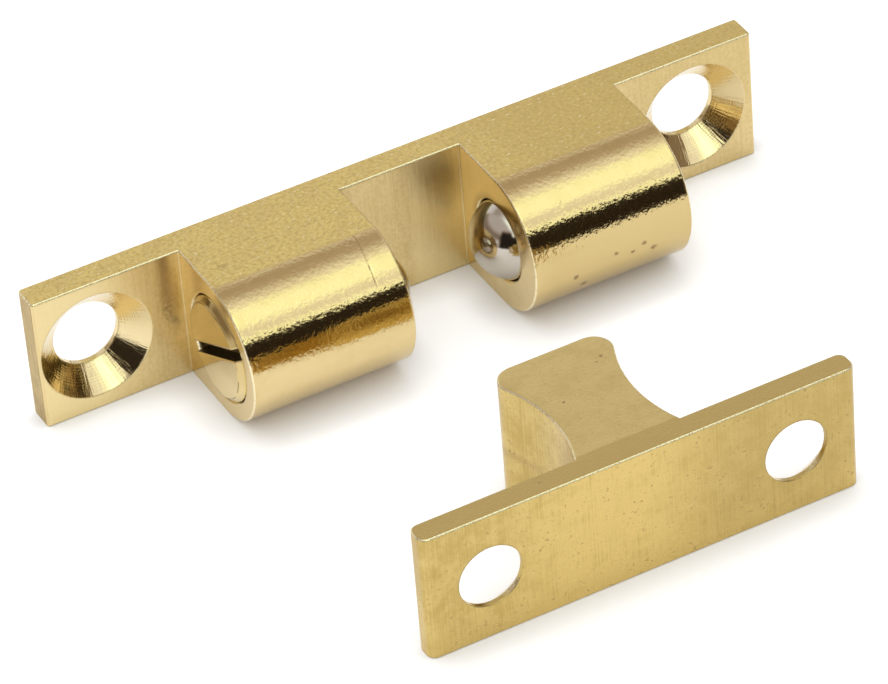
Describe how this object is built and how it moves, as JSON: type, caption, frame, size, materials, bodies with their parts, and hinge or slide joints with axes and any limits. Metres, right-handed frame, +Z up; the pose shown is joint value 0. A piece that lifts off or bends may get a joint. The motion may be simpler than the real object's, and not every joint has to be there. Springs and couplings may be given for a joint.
{
  "type": "double ball catch",
  "caption": "Brass double ball catch: sprung steel balls face each other across a gap in the housing and grip the hollowed stem of a T-shaped strike.",
  "frame": {"origin": "centre of the housing's flat mounting face", "axes": "+X along the housing, +Y out of its mounting face and away from the strike, +Z up, with both halves standing on a long narrow edge"},
  "size_m": [0.043, 0.0288, 0.008],
  "materials": {
    "housing_brass": "tumbled bar with a drawn nose and milled faces",
    "strike_brass": "drawn flanks, sawn and tumbled ends",
    "screw_brass": "turned",
    "ball_steel": "polished",
    "spring_steel": "bright wire"
  },
  "bodies": {
    "housing": {"housing": "housing_brass"},
    "left_ball": {"left_ball": "ball_steel"},
    "right_ball": {"right_ball": "ball_steel"},
    "left_spring": {"left_spring": "spring_steel"},
    "right_spring": {"right_spring": "spring_steel"},
    "left_screw": {"left_adjusting_screw": "screw_brass"},
    "right_screw": {"right_adjusting_screw": "screw_brass"},
    "strike": {"strike": "strike_brass"}
  },
  "joints": [
    {"name": "left_ball_press", "type": "slide", "parent": "housing", "child": "left_ball", "axis": [-1, 0, 0], "range_m": [0, 0.0014], "stiffness_N_per_m": 1500, "springref_m": -0.002, "deforming": ["left_spring"]},
    {"name": "right_ball_press", "type": "slide", "parent": "housing", "child": "right_ball", "axis": [1, 0, 0], "range_m": [0, 0.0014], "stiffness_N_per_m": 1500, "springref_m": -0.002, "deforming": ["right_spring"]},
    {"name": "left_screw_feed", "type": "slide", "parent": "housing", "child": "left_spring", "axis": [1, 0, 0], "range_m": [-0.00075, 0.00075], "deforming": ["left_spring"]},
    {"name": "right_screw_feed", "type": "slide", "parent": "housing", "child": "right_spring", "axis": [-1, 0, 0], "range_m": [-0.00075, 0.00075], "deforming": ["right_spring"]},
    {"name": "left_screw_turn", "type": "hinge", "parent": "left_spring", "child": "left_screw", "pos_m": [-0.0133, -0.00545, 0], "axis": [1, 0, 0], "range_deg": [-360, 360]},
    {"name": "right_screw_turn", "type": "hinge", "parent": "right_spring", "child": "right_screw", "pos_m": [0.0133, -0.00545, 0], "axis": [-1, 0, 0], "range_deg": [-360, 360]},
    {"name": "strike_travel", "type": "slide", "parent": "housing", "child": "strike", "axis": [0.0995, 0.995, 0], "range_m": [0, 0.01206]}
  ],
  "couplings": [
    {"joint": "left_screw_turn", "follows": "left_screw_feed", "rad_per_m": 8377.6},
    {"joint": "right_screw_turn", "follows": "right_screw_feed", "rad_per_m": 8377.6}
  ]
}
